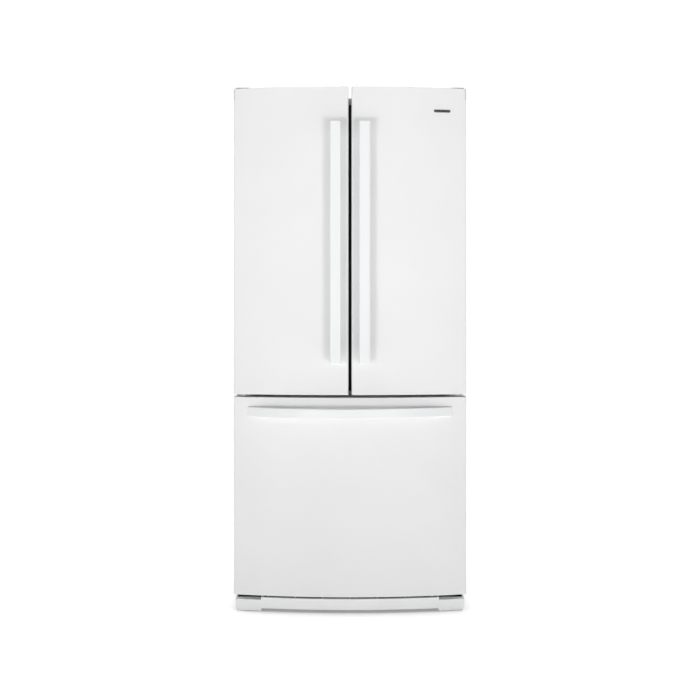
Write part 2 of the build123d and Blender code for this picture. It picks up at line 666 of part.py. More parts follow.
def evaporator_cover():
    """Freezer rear panel with a fan opening and slots."""
    y0 = FREEZER_REAR_Y - 14
    panel = block(-326, 326, y0, FREEZER_REAR_Y, 345, 664)
    panel = fillet(panel.edges().filter_by(Axis.Y), 10)
    grille = rod_y(0, y0 - 1, y0 + 8, 560, 62)
    for step in range(7):
        grille -= block(-70, 70, y0 - 2, y0 + 9, 505 + step * 18, 510 + step * 18)
    panel -= grille
    for row in range(3):
        for x in (-220, 220):
            z = 400 + row * 20
            panel -= block(x - 60, x + 60, y0 - 1, y0 + 8, z, z + 7)
    return panel


# ================================================================ freezer drawer
SLIDE_Z = 418.0


def drawer_outline(inset, y_back, z0, z1):
    return bowed_block(-HALF + inset, HALF - inset, y_back, z0, z1, inset, 6.0 - inset)


def drawer_skin():
    outer = drawer_outline(0, DOOR_BACK_Y, DRAWER_BOTTOM, DRAWER_TOP)
    inner = drawer_outline(SKIN, DOOR_BACK_Y - SKIN, DRAWER_BOTTOM + SKIN, DRAWER_TOP - SKIN)
    mouth = block(-HALF + RETURN, HALF - RETURN, DOOR_BACK_Y - 3, DOOR_BACK_Y + 1,
                  DRAWER_BOTTOM + RETURN, DRAWER_TOP - RETURN)
    return outer - inner - mouth


def drawer_plug(inset, y0, y1):
    plug = block(-300 + inset, 300 - inset, y0, y1, 160 + inset, 640 - inset)
    return fillet(plug.edges().filter_by(Axis.Y), 20 - inset)


def drawer_liner():
    y1 = DOOR_BACK_Y - SKIN
    y0 = y1 - LINER
    plate = block(-HALF + SKIN + 0.2, HALF - SKIN - 0.2, y0, y1, DRAWER_BOTTOM + SKIN + 0.2,
                  DRAWER_TOP - SKIN - 0.2)
    liner = plate + drawer_plug(0, y0, DOOR_BACK_Y + 22)
    return liner - drawer_plug(LINER, y0 - 1, DOOR_BACK_Y + 22 - LINER)


def drawer_foam():
    y_back = DOOR_BACK_Y - SKIN - LINER
    foam = drawer_outline(SKIN, y_back, DRAWER_BOTTOM + SKIN, DRAWER_TOP - SKIN)
    return foam + drawer_plug(LINER, y_back - 1, DOOR_BACK_Y + 22 - LINER)


def drawer_gasket():
    base_front = DOOR_BACK_Y - SKIN
    base_back = DOOR_BACK_Y + 4.5
    z0 = 88.0
    z1 = DRAWER_TOP - 9
    base = ring_xz(-HALF + 9.5, HALF - 9.5, z0, z1, base_front, base_back, 17)
    bulb = ring_xz(-362, 362, z0 + 2, z1 - 2, base_back - 0.5, GASKET_BACK_Y, 11)
    bulb = fillet(bulb.faces().sort_by(Axis.Y)[-1].edges(), 2.5)
    return base + bulb


DRAWER_HANDLE_LOW = 635.5
DRAWER_HANDLE_HIGH = 667.0
DRAWER_HANDLE_HALF = 330.0
DRAWER_HANDLE_REACH = 55.0
DRAWER_HANDLE_END_STEP = 3.5


def arc_disc(half_chord, y_end, y_mid, z0, z1):
    """A disc whose front edge passes through both ends and the middle of an arch."""
    rise = y_end - y_mid
    radius = (half_chord ** 2 + rise ** 2) / (2 * rise)
    return rod_z(0, y_mid + radius, z0, z1, radius)


def drawer_handle():
    """Arched bar whose ends die into the drawer face."""
    z0 = DRAWER_HANDLE_LOW
    z1 = DRAWER_HANDLE_HIGH
    front = CROWN_Y - DRAWER_HANDLE_REACH
    end_y = bow_y(DRAWER_HANDLE_HALF) - DRAWER_HANDLE_END_STEP
    outer = arc_disc(DRAWER_HANDLE_HALF, end_y, front, z0, z1)
    inner = arc_disc(DRAWER_HANDLE_HALF - 42, bow_y(DRAWER_HANDLE_HALF - 42) + 1, front + 16, z0 - 5, z1 + 5)
    bar = outer & block(-DRAWER_HANDLE_HALF, DRAWER_HANDLE_HALF, FRONT_Y, -300, z0, z1)
    bar = bar - inner - bow_disc(z0 - 5, z1 + 5, -0.05)
    front_rims = bar.edges().filter_by(GeomType.CIRCLE).sort_by(Axis.Y)[:2]
    return fillet(front_rims, 3.0)


def drawer_rails():
    """Inner slide members, each with a bracket screwed to the back of the drawer front."""
    rails = []
    for side in (-1, 1):
        x0, x1 = sorted((side * 305.0, side * 313.5))
        rail = block(x0, x1, -238, 160, SLIDE_Z - 18, SLIDE_Z + 18)
        tongue_x = sorted((side * 313.0, side * 316.5))
        rail += block(tongue_x[0], tongue_x[1], -238, 160, SLIDE_Z - 6, SLIDE_Z + 6)
        foot_x = sorted((side * 301.5, side * 313.5))
        rail += block(foot_x[0], foot_x[1], DOOR_BACK_Y - SKIN, -236, SLIDE_Z - 60, SLIDE_Z + 40)
        rails.append(rail)
    return rails


def slide_middle():
    """Middle members of the telescopic slides: a groove inside and a tongue outside."""
    rails = []
    for side in (-1, 1):
        x0, x1 = sorted((side * 313.9, side * 321.2))
        rail = block(x0, x1, -238, 160, SLIDE_Z - 20, SLIDE_Z + 20)
        groove = sorted((side * 313.0, side * 317.0))
        rail -= block(groove[0], groove[1], -240, 165, SLIDE_Z - 6.4, SLIDE_Z + 6.4)
        tongue = sorted((side * 320.0, side * 324.5))
        rail += block(tongue[0], tongue[1], -238, 160, SLIDE_Z - 6, SLIDE_Z + 6)
        rails.append(rail)
    return rails


def slide_outer_rails():
    rails = []
    for side in (-1, 1):
        x0, x1 = sorted((side * 321.6, side * INNER_HALF))
        rail = block(x0, x1, -240, 200, SLIDE_Z - 22, SLIDE_Z + 22)
        groove = sorted((side * 321.0, side * 325.0))
        rail -= block(groove[0], groove[1], -241, 201, SLIDE_Z - 6.4, SLIDE_Z + 6.4)
        rails.append(rail)
    return rails


def slotted_bin(x0, x1, y0, y1, z0, z1, wall):
    """Open bin with upright slots in all four walls."""
    body = rounded_upright(block(x0, x1, y0, y1, z0, z1), 18)
    inside = block(x0 + wall, x1 - wall, y0 + wall, y1 - wall, z0 + wall, z1 + 1)
    body -= rounded_upright(inside, 15)
    z_low = z0 + 35
    z_high = z1 - 35
    count = int((x1 - x0 - 80) // 40)
    for step in range(count):
        x = (x0 + x1) / 2 + (step - (count - 1) / 2) * 40
        body -= block(x - 8, x + 8, y0 - 1, y1 + 1, z_low, z_high)
    count = int((y1 - y0 - 80) // 40)
    for step in range(count):
        y = (y0 + y1) / 2 + (step - (count - 1) / 2) * 40
        body -= block(x0 - 1, x1 + 1, y - 8, y + 8, z_low, z_high)
    return body


def freezer_basket():
    """Deep bin whose rim rests on the slides' inner members."""
    body = slotted_bin(-300, 300, -232, 155, 150, SLIDE_Z + 22, 3)
    rim = block(-312, 312, -235, 161, SLIDE_Z + 18, SLIDE_Z + 22)
    rim -= block(-296, 296, -228, 151, SLIDE_Z + 10, SLIDE_Z + 30)
    return body + rim


def upper_basket():
    """Shallow bin that runs on ledges moulded in the freezer liner."""
    body = slotted_bin(-306, 306, -232, 240, 486, 610, 3)
    rim = block(-322, 322, -232, 240, 486, 490) - block(-300, 300, -228, 236, 480, 495)
    runner = block(316, 322, -232, 240, 470.4, 487)
    return body + rim + runner + mirror_x(runner)


# ================================================================ base and machine compartment
GRILLE_LOW = 11.0
GRILLE_HIGH = 46.0
GRILLE_HALF = 287.0
GRILLE_INSET = 16.0             # how far the moulding stands behind the door bow
GRILLE_WALL = 3.0
GRILLE_LIP = 12.0               # depth of the panel's top edge
GRILLE_RIBS = (-270.0, -180.0, -90.0, 0.0, 90.0, 180.0, 270.0)
FOOT_LOW = 2.5
FOOT_TOP = 38.0
FOOT_OUTER = 373.0
APRON_Y = FLANGE_Y + 4.0        # front of the base frame, where the toe moulding ends
FOOT_LIP_Y = -288.0             # the foot covers are open on top behind this
LEG_X = 330.0
LEG_Y = -232.0
ROLLER_RADIUS = 20.0
FRONT_AXLE = (300.0, -180.0, 20.5)
REAR_AXLE = (310.0, 375.0, 20.0)


def toe_profile(inset):
    """Front view of the toe moulding: a panel between two deeper, rounded foot covers."""
    panel = block(-GRILLE_HALF - 2 + inset, GRILLE_HALF + 2 - inset, FRONT_Y, APRON_Y,
                  GRILLE_LOW + inset, GRILLE_HIGH - inset)
    foot = block(GRILLE_HALF + inset, FOOT_OUTER - inset, FRONT_Y, APRON_Y,
                 FOOT_LOW + inset, FOOT_TOP - inset)
    low_edges = foot.edges().filter_by(Axis.Y).group_by(Axis.Z)[0].sort_by(Axis.X)
    foot = fillet(low_edges[-1], 12 - inset)
    low_edges = foot.edges().filter_by(Axis.Y).sort_by(Axis.X)
    foot = fillet(low_edges.group_by(Axis.X)[0].sort_by(Axis.Z)[0], 6 - inset)
    return panel + foot + mirror_x(foot)


def base_grille():
    """Toe panel and the covers over both levelling legs, one moulding open at the back."""
    outer = toe_profile(0.0) & bow_disc(0, GRILLE_HIGH, GRILLE_INSET)
    inner = toe_profile(GRILLE_WALL) & bow_disc(0, GRILLE_HIGH, GRILLE_INSET + GRILLE_WALL)
    moulding = outer - inner
    open_top = block(-GRILLE_HALF, GRILLE_HALF, FRONT_Y, REAR_Y, GRILLE_HIGH - 8, GRILLE_HIGH + 1)
    moulding -= open_top & bow_disc(0, 2 * GRILLE_HIGH, GRILLE_INSET + GRILLE_LIP)
    for side in (-1, 1):
        near, far = sorted((side * (GRILLE_HALF + 3), side * (FOOT_OUTER - GRILLE_WALL)))
        moulding -= block(near, far, FOOT_LIP_Y, REAR_Y, 0, FOOT_TOP + 1)
    for x in GRILLE_RIBS:
        rib = block(x - 1, x + 1, FRONT_Y, APRON_Y - 4, GRILLE_LOW + 10, GRILLE_HIGH - 2.5)
        moulding += rib & bow_disc(0, GRILLE_HIGH, GRILLE_INSET + 1)
    clip_strip = block(-GRILLE_HALF, GRILLE_HALF, APRON_Y - 12, APRON_Y, GRILLE_HIGH - 3, GRILLE_HIGH)
    return moulding + clip_strip


def base_frame():
    """Pressed base: apron, front channel, side rails, machine floor and ears for the axles."""
    pan = block(-372, 372, APRON_Y, MACHINE_FRONT_Y, BOTTOM_PAN_TOP - 2.5, BOTTOM_PAN_TOP)
    apron = block(-372, 372, APRON_Y, APRON_Y + 1.5, 17, 53)
    channel = block(-372, 372, APRON_Y, FLANGE_Y + 34, 52, BOTTOM_PAN_TOP)
    channel -= block(-371, 371, FLANGE_Y + 6, FLANGE_Y + 32, 50, 88)
    floor = block(-372, 372, MACHINE_FRONT_Y - 2, SHEET_REAR_Y - 1, 50, 53)
    riser = block(-372, 372, MACHINE_FRONT_Y - 2, MACHINE_FRONT_Y, 50, BOTTOM_PAN_TOP)
    frame = pan + apron + channel + floor + riser
    for side in (-1, 1):
        rail_x = sorted((side * 369.0, side * 372.0))
        frame += block(rail_x[0], rail_x[1], APRON_Y, SHEET_REAR_Y - 1, 50, BOTTOM_PAN_TOP)
        nut = rod_z(side * LEG_X, LEG_Y, 50, 90, 11)
        ties = block(side * LEG_X - 20, side * LEG_X + 20, FLANGE_Y + 5, FLANGE_Y + 33, 50, 53)
        frame += nut + ties
        frame -= rod_z(side * LEG_X, LEG_Y, 45, 88, 5 + RUNNING_CLEARANCE)
    for x, y, z in (FRONT_AXLE, REAR_AXLE):
        for side in (-1, 1):
            top = 94.0 if y < 0 else 51.0
            for offset in (-15, 15):
                ear = block(side * x + offset - 1.5, side * x + offset + 1.5, y - 10, y + 10, z, top)
                ear += rod_x(side * x + offset - 1.5, side * x + offset + 1.5, y, z, 10)
                frame += ear
            frame += rod_x(side * x - 15, side * x + 15, y, z, 4)
    return frame


def rollers(axle):
    x, y, z = axle
    pair = []
    for side in (-1, 1):
        wheel = rod_x(side * x - 11, side * x + 11, y, z, ROLLER_RADIUS)
        wheel = fillet(wheel.edges(), 2)
        wheel -= rod_x(side * x - 8, side * x - 12, y, z, 14) - rod_x(side * x - 7, side * x - 12, y, z, 8)
        wheel -= rod_x(side * x + 8, side * x + 12, y, z, 14) - rod_x(side * x + 7, side * x + 12, y, z, 8)
        wheel -= rod_x(side * x - 12, side * x + 12, y, z, 4 + RUNNING_CLEARANCE)
        pair.append(wheel)
    return pair


def levelling_leg(side):
    """Screw stem with a hexagon collar and a round pad on the floor."""
    x = side * LEG_X
    pad = rod_z(x, LEG_Y, 0, 7, 17)
    pad = fillet(pad.edges().sort_by(Axis.Z)[-1:], 2.5)
    collar = Pos(x, LEG_Y, 7) * extrude(RegularPolygon(10, 6), 8)
    return pad + collar + rod_z(x, LEG_Y, 6, 74, 5.0)


COMPRESSOR = (215.0, 312.0)
FAN = (35.0, 312.0, 165.0)


def compressor_and_fan_motor():
    """Hermetic compressor on its plate and grommets, and the motor on a bracket."""
    x, y = COMPRESSOR
    can = rod_z(x, y, 66, 200, 72)
    can = fillet(can.edges(), 26)
    plate = block(x - 95, x + 95, y - 60, y + 60, 62, 66)
    plate = fillet(plate.edges().filter_by(Axis.Z), 12)
    body = can + plate
    for dx in (-80, 80):
        for dy in (-46, 46):
            body += rod_z(x + dx, y + dy, 53, 62, 9)
    box = block(x - 20, x + 20, y - 88, y - 60, 110, 165)
    body += fillet(box.edges().filter_by(Axis.Y), 4)
    fx, fy, fz = FAN
    motor = rod_x(fx + 14, fx + 52, fy, fz, 24)
    motor += block(fx + 24, fx + 40, fy - 12, fy + 12, 53, fz)
    motor += rod_x(fx - 12, fx + 16, fy, fz, 3)
    return [body, motor]


def condenser_fan():
    """Five pitched blades on a hub bored for the motor shaft."""
    x, y, z = FAN
    fan = rod_x(x - 10, x + 10, y, z, 18)
    for step in range(5):
        blade = Pos(0, 0, 40) * Rot(0, 0, 32) * Box(1.8, 30, 56)
        fan += Pos(x, y, z) * Rot(step * 72, 0, 0) * blade
    fan -= rod_x(x - 14, x + 14, y, z, 3 + RUNNING_CLEARANCE)
    return fan


def condenser_coil():
    """Serpentine tube bank with a manifold line to the compressor."""
    solids = []
    tube = 3.0
    for layer in (250.0, 285.0, 320.0, 355.0):
        points = []
        for step in range(6):
            z = 75 + step * 32
            ends = (-330, -60) if step % 2 == 0 else (-60, -330)
            points.append((ends[0], layer, z))
            points.append((ends[1], layer, z))
        path = FilletPolyline(*points, radius=15.5)
        start = Plane(origin=path @ 0, z_dir=path % 0)
        solids.append(sweep(start * Circle(tube), path))
    end_plates = block(-300, -298.5, 240, 365, 53, 250)
    holes = Compound(solids)
    end_plates -= holes
    return solids + [end_plates]


def power_inlet():
    """Recessed three-pin socket in the rear cover."""
    body = block(-59, -11, 385, SHEET_REAR_Y + 3, 201, 231)
    body = fillet(body.edges().filter_by(Axis.Y), 3)
    body -= block(-51, -19, SHEET_REAR_Y - 16, REAR_Y, 206, 226)
    for x, z in ((-44, 213), (-26, 213), (-35, 219)):
        body += block(x - 1, x + 1, SHEET_REAR_Y - 17, SHEET_REAR_Y - 4, z - 2, z + 2)
    return body


# ================================================================ assemble the nodes
parts["cabinet_wrapper"] = [cabinet_wrapper()]
parts["rear_panels"] = rear_panels()
parts["insulation_foam"] = [insulation_foam()]
parts["fridge_liner"] = [fridge_liner()]
parts["freezer_liner"] = [freezer_liner()]
parts["center_rail"] = [center_rail()]
parts["door_hinges"] = both_sides(top_hinge()) + both_sides(center_hinge())
parts["hinge_covers"] = both_sides(hinge_cover())
parts["cabinet_screws"] = cabinet_screws()
parts["mullion_guide"] = [mullion_guide()]
parts["shelf_ladders"] = shelf_ladders()
parts["shelf_frames"] = shelf_frames()
parts["shelf_glass"] = shelf_glass()
parts["crisper_cover"] = [crisper_cover()]
parts["control_housing"] = [control_housing()]
parts["light_lens"] = [light_lens()]
parts["air_duct_cover"] = [air_duct_cover()]
parts["evaporator_cover"] = [evaporator_cover()]
parts["slide_outer_rails"] = slide_outer_rails()
parts["base_grille"] = [base_grille()]
parts["base_frame"] = [base_frame()]
parts["compressor_and_fan_motor"] = compressor_and_fan_motor()
parts["condenser_coil"] = condenser_coil()
parts["power_inlet"] = [power_inlet()]

right_door = {
    "skin": [door_skin()],
    "caps": door_caps(),
    "liner": [door_liner()],
    "foam": [door_foam()],
    "gasket": [door_gasket()],
    "handle": [door_handle()],
    "bins": door_bins(),
}
for piece, solids in right_door.items():
    parts["right_door_" + piece] = solids
    parts["left_door_" + piece] = [mirror_x(solid) for solid in solids]
left_liner = parts["left_door_liner"][0]
for ear in mullion_ears():
    left_liner += ear
parts["left_door_liner"] = [left_liner]
parts["badge"] = [badge()]
parts["flipper_mullion"] = [flipper_mullion()]

parts["drawer_skin"] = [drawer_skin()]
parts["drawer_liner"] = [drawer_liner()]
parts["drawer_foam"] = [drawer_foam()]
parts["drawer_gasket"] = [drawer_gasket()]
parts["drawer_handle"] = [drawer_handle()]
parts["drawer_rails"] = drawer_rails()
parts["freezer_basket"] = [freezer_basket()]
parts["slide_middle"] = slide_middle()
parts["upper_basket"] = [upper_basket()]

parts["crisper_left"] = [crisper(-1)]
parts["crisper_right"] = [crisper(1)]
parts["humidity_slider_left"] = [humidity_slider(-1)]
parts["humidity_slider_right"] = [humidity_slider(1)]
parts["button_colder"] = [temperature_button(BUTTON_X[0])]
parts["button_warmer"] = [temperature_button(BUTTON_X[1])]
parts["condenser_fan"] = [condenser_fan()]
parts["front_rollers"] = rollers(FRONT_AXLE)
parts["rear_rollers"] = rollers(REAR_AXLE)
parts["leg_left"] = [levelling_leg(-1)]
parts["leg_right"] = [levelling_leg(1)]

os.makedirs("parts", exist_ok=True)
for name, solids in parts.items():
    shapes = []
    for solid in solids:
        shapes.extend(solid.solids())
    export_step(shapes[0] if len(shapes) == 1 else Compound(shapes), "parts/" + name + ".step")
print(len(parts), "nodes written")
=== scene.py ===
import json
import math

import bmesh
import bpy
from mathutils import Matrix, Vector


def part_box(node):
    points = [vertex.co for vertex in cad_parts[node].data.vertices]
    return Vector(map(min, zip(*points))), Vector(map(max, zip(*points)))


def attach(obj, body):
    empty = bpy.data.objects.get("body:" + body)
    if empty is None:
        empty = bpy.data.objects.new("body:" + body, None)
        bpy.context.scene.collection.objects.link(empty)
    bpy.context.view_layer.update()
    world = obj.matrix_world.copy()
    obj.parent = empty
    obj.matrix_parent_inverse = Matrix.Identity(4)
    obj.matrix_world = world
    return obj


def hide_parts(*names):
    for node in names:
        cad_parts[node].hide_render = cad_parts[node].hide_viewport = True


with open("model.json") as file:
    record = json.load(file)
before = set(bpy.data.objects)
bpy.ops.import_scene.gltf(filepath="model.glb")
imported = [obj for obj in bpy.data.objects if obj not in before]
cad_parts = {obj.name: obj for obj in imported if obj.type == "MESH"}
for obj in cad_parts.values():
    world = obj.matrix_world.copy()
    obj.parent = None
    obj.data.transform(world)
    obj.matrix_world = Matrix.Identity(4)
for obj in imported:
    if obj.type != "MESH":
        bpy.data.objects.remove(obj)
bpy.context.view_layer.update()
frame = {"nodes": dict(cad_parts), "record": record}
nodes = frame["nodes"]


# ---------------------------------------------------------------- camera, lights and floor
EDGE_PLANE_Y = -0.3265
CAMERA_DISTANCE = 3.6
CAMERA_HEIGHT = 1.025
LENS_MM = 57.0
HORIZON_SHIFT = -54.0 / 700.0
SENSOR_MM = 36.0
VIEW_DEPTH = 50.0
ROOM_FRONT = (0.12, 0.12, 0.12, 1.0)     # what lights the object from the camera's side
ROOM_BACK = (1.08, 1.08, 1.08, 1.0)      # what lights it from behind, and what the camera sees
PAPER_WHITE = (1.0, 1.0, 1.0, 1.0)
FLOOR_HALF = 30.0
FLOOR_GLOW = 0.6                         # in the open
FLOOR_GLOW_UNDER = 0.07                  # close under the object: a painted contact shadow
FLOOR_SHADE_REACH = 0.05

# name, place, point it faces, size, watts and spread in degrees
AREA_LIGHTS = [
    ("strip_left", (-1.42, -4.1, 0.35), (0.0, -0.4, 1.5), (0.9, 0.7), 6.7, 80.0),
    ("strip_right", (1.42, -4.1, 0.35), (0.0, -0.4, 1.5), (0.9, 0.7), 6.7, 80.0),
    ("overhead", (0.0, -2.2, 3.4), (0.0, -1.0, 0.0), (3.0, 3.0), 18.0, 180.0),
    ("fridge_lamp", (0.0, -0.02, 1.61), (0.0, 0.05, 0.7), (0.3, 0.1), 1.0, 180.0),
    ("shelf_lamp", (0.0, 0.0, 1.23), (0.0, 0.05, 0.7), (0.5, 0.2), 0.5, 180.0),
    ("freezer_lamp", (0.0, 0.0, 0.655), (0.0, 0.0, 0.1), (0.4, 0.2), 0.4, 180.0),
]


def add_camera():
    data = bpy.data.cameras.new("camera")
    data.lens = LENS_MM
    data.sensor_width = SENSOR_MM
    data.shift_y = HORIZON_SHIFT
    data.clip_end = VIEW_DEPTH
    camera = bpy.data.objects.new("camera", data)
    camera.location = (0.0, EDGE_PLANE_Y - CAMERA_DISTANCE, CAMERA_HEIGHT)
    camera.rotation_euler = (math.radians(90), 0.0, 0.0)
    bpy.context.scene.collection.objects.link(camera)
    bpy.context.scene.camera = camera


def add_area_light(name, place, target, size, power, spread):
    """A soft box that lights the object without showing itself."""
    data = bpy.data.lights.new(name, "AREA")
    data.spread = math.radians(spread)
    data.shape = "RECTANGLE"
    data.size = size[0]
    data.size_y = size[1]
    data.energy = power
    light = bpy.data.objects.new(name, data)
    light.location = place
    light.rotation_euler = (Vector(target) - Vector(place)).to_track_quat("-Z", "Y").to_euler()
    light.visible_camera = False
    bpy.context.scene.collection.objects.link(light)


def add_world():
    """A white cove lights the object from behind, a dim room from the front; both look white."""
    world = bpy.data.worlds.new("studio")
    world.use_nodes = True
    tree = world.node_tree
    background = tree.nodes["Background"]
    background.inputs["Strength"].default_value = 1.0
    direction = tree.nodes.new("ShaderNodeTexCoord")
    axes = tree.nodes.new("ShaderNodeSeparateXYZ")
    ramp = tree.nodes.new("ShaderNodeValToRGB")
    ramp.color_ramp.elements[0].position = 0.0
    ramp.color_ramp.elements[0].color = ROOM_FRONT
    ramp.color_ramp.elements[1].position = 0.5
    ramp.color_ramp.elements[1].color = ROOM_BACK
    tree.links.new(direction.outputs["Generated"], axes.inputs["Vector"])
    tree.links.new(axes.outputs["Y"], ramp.inputs["Fac"])
    tree.links.new(ramp.outputs["Color"], background.inputs["Color"])
    backdrop = tree.nodes.new("ShaderNodeBackground")
    backdrop.inputs["Color"].default_value = ROOM_BACK
    path = tree.nodes.new("ShaderNodeLightPath")
    mixed = tree.nodes.new("ShaderNodeMixShader")
    tree.links.new(path.outputs["Is Camera Ray"], mixed.inputs["Fac"])
    tree.links.new(background.outputs["Background"], mixed.inputs[1])
    tree.links.new(backdrop.outputs["Background"], mixed.inputs[2])
    tree.links.new(mixed.outputs["Shader"], tree.nodes["World Output"].inputs["Surface"])
    bpy.context.scene.world = world
    bpy.context.scene.view_settings.view_transform = "Standard"
    bpy.context.scene.view_settings.look = "None"


def add_floor(material):
    mesh = bpy.data.meshes.new("floor")
    corners = [(-FLOOR_HALF, -FLOOR_HALF, 0), (FLOOR_HALF, -FLOOR_HALF, 0),
               (FLOOR_HALF, FLOOR_HALF, 0), (-FLOOR_HALF, FLOOR_HALF, 0)]
    mesh.from_pydata(corners, [], [(0, 1, 2, 3)])
    floor = bpy.data.objects.new("floor", mesh)
    floor.data.materials.append(material)
    bpy.context.scene.collection.objects.link(floor)


# ---------------------------------------------------------------- material building blocks
class Surface:
    """A Principled material whose colour, roughness and bump come from procedural textures."""

    def __init__(self, name, metallic=0.0, specular=0.5, coat=0.0, coat_roughness=0.1):
        self.material = bpy.data.materials.new(name)
        self.material.use_nodes = True
        self.tree = self.material.node_tree
        self.shader = self.tree.nodes["Principled BSDF"]
        self.shader.inputs["Metallic"].default_value = metallic
        self.shader.inputs["Specular IOR Level"].default_value = specular
        self.shader.inputs["Coat Weight"].default_value = coat
        self.shader.inputs["Coat Roughness"].default_value = coat_roughness
        self.coordinates = self.tree.nodes.new("ShaderNodeTexCoord")
        self.height = None

    def soft_edges(self, radius):
        """Rounds the shading of sharp edges, as moulding and paint do."""
        node = self.tree.nodes.new("ShaderNodeBevel")
        node.samples = 4
        node.inputs["Radius"].default_value = radius
        self.height = node.outputs["Normal"]

    def link(self, start, end):
        self.tree.links.new(start, end)

    def mapped(self, stretch):
        node = self.tree.nodes.new("ShaderNodeMapping")
        node.inputs["Scale"].default_value = stretch
        self.link(self.coordinates.outputs["Object"], node.inputs["Vector"])
        return node.outputs["Vector"]

    def noise(self, scale, detail=3.0):
        node = self.tree.nodes.new("ShaderNodeTexNoise")
        node.inputs["Scale"].default_value = scale
        node.inputs["Detail"].default_value = detail
        self.link(self.mapped((1, 1, 1)), node.inputs["Vector"])
        return node.outputs["Fac"]

    def cells(self, scale):
        node = self.tree.nodes.new("ShaderNodeTexVoronoi")
        node.inputs["Scale"].default_value = scale
        self.link(self.mapped((1, 1, 1)), node.inputs["Vector"])
        return node.outputs["Distance"]

    def facets(self, scale, stretch):
        """One value for each crystal, fixed by its place."""
        node = self.tree.nodes.new("ShaderNodeTexVoronoi")
        node.inputs["Scale"].default_value = scale
        self.link(self.mapped(stretch), node.inputs["Vector"])
        channels = self.tree.nodes.new("ShaderNodeSeparateColor")
        self.link(node.outputs["Color"], channels.inputs["Color"])
        return channels.outputs["Red"]

    def color(self, texture, low, high, at=(0.3, 0.7)):
        ramp = self.tree.nodes.new("ShaderNodeValToRGB")
        ramp.color_ramp.elements[0].position = at[0]
        ramp.color_ramp.elements[1].position = at[1]
        ramp.color_ramp.elements[0].color = (*low, 1.0)
        ramp.color_ramp.elements[1].color = (*high, 1.0)
        self.link(texture, ramp.inputs["Fac"])
        self.link(ramp.outputs["Color"], self.shader.inputs["Base Color"])

    def roughness(self, texture, low, high):
        node = self.tree.nodes.new("ShaderNodeMapRange")
        node.inputs["From Min"].default_value = 0.3
        node.inputs["From Max"].default_value = 0.7
        node.inputs["To Min"].default_value = low
        node.inputs["To Max"].default_value = high
        self.link(texture, node.inputs["Value"])
        self.link(node.outputs["Result"], self.shader.inputs["Roughness"])

    def bump(self, texture, depth, strength):
        node = self.tree.nodes.new("ShaderNodeBump")
        node.inputs["Distance"].default_value = depth
        node.inputs["Strength"].default_value = strength
        self.link(texture, node.inputs["Height"])
        if self.height is not None:
            self.link(self.height, node.inputs["Normal"])
        self.height = node.outputs["Normal"]
        self.link(self.height, self.shader.inputs["Normal"])


def enamel(name, low, high, roughness=(0.42, 0.5), peel=0.00006):
    """Baked enamel: faint orange peel over long, slow waviness."""
    surface = Surface(name, specular=0.3, coat=0.05, coat_roughness=0.3)
    surface.soft_edges(0.0012)
    surface.color(surface.noise(3.0, detail=4.0), low, high)
    surface.roughness(surface.noise(35.0), *roughness)
    surface.bump(surface.noise(4.0, detail=0.0), 0.0001, 0.15)
    surface.bump(surface.noise(700.0, detail=2.0), peel, 0.25)
    return surface


def moulded(name, low, high, roughness=(0.38, 0.5), grain=0.00008, grain_scale=900.0):
    """Injection-moulded plastic with a fine spark-eroded grain."""
    surface = Surface(name, specular=0.4)
    surface.soft_edges(0.0008)
    surface.color(surface.noise(12.0, detail=4.0), low, high)
    surface.roughness(surface.noise(60.0), *roughness)
    surface.bump(surface.cells(grain_scale), grain, 0.4)
    return surface


def plated(name, low, high, roughness=(0.28, 0.45), spangle_scale=90.0):
    """Zinc-plated steel: crystals that differ a little in tone and gloss, and fine marks."""
    surface = Surface(name, metallic=1.0)
    surface.soft_edges(0.0006)
    crystals = (1, 1, 0.6)
    surface.color(surface.facets(spangle_scale, crystals), low, high, at=(0.0, 1.0))
    surface.roughness(surface.facets(spangle_scale, crystals), *roughness)
    surface.bump(surface.noise(260.0, detail=2.0), 0.00005, 0.5)
    return surface


def clear(name, tint, roughness=(0.04, 0.1), ior=1.49, transmission=1.0):
    """Clear plastic or glass with faint surface haze."""
    surface = Surface(name)
    surface.shader.inputs["Transmission Weight"].default_value = transmission
    surface.shader.inputs["IOR"].default_value = ior
    surface.color(surface.noise(6.0), tint, [min(1.0, channel * 1.04) for channel in tint])
    surface.roughness(surface.noise(25.0), *roughness)
    surface.bump(surface.noise(30.0, detail=1.0), 0.0001, 0.3)
    return surface


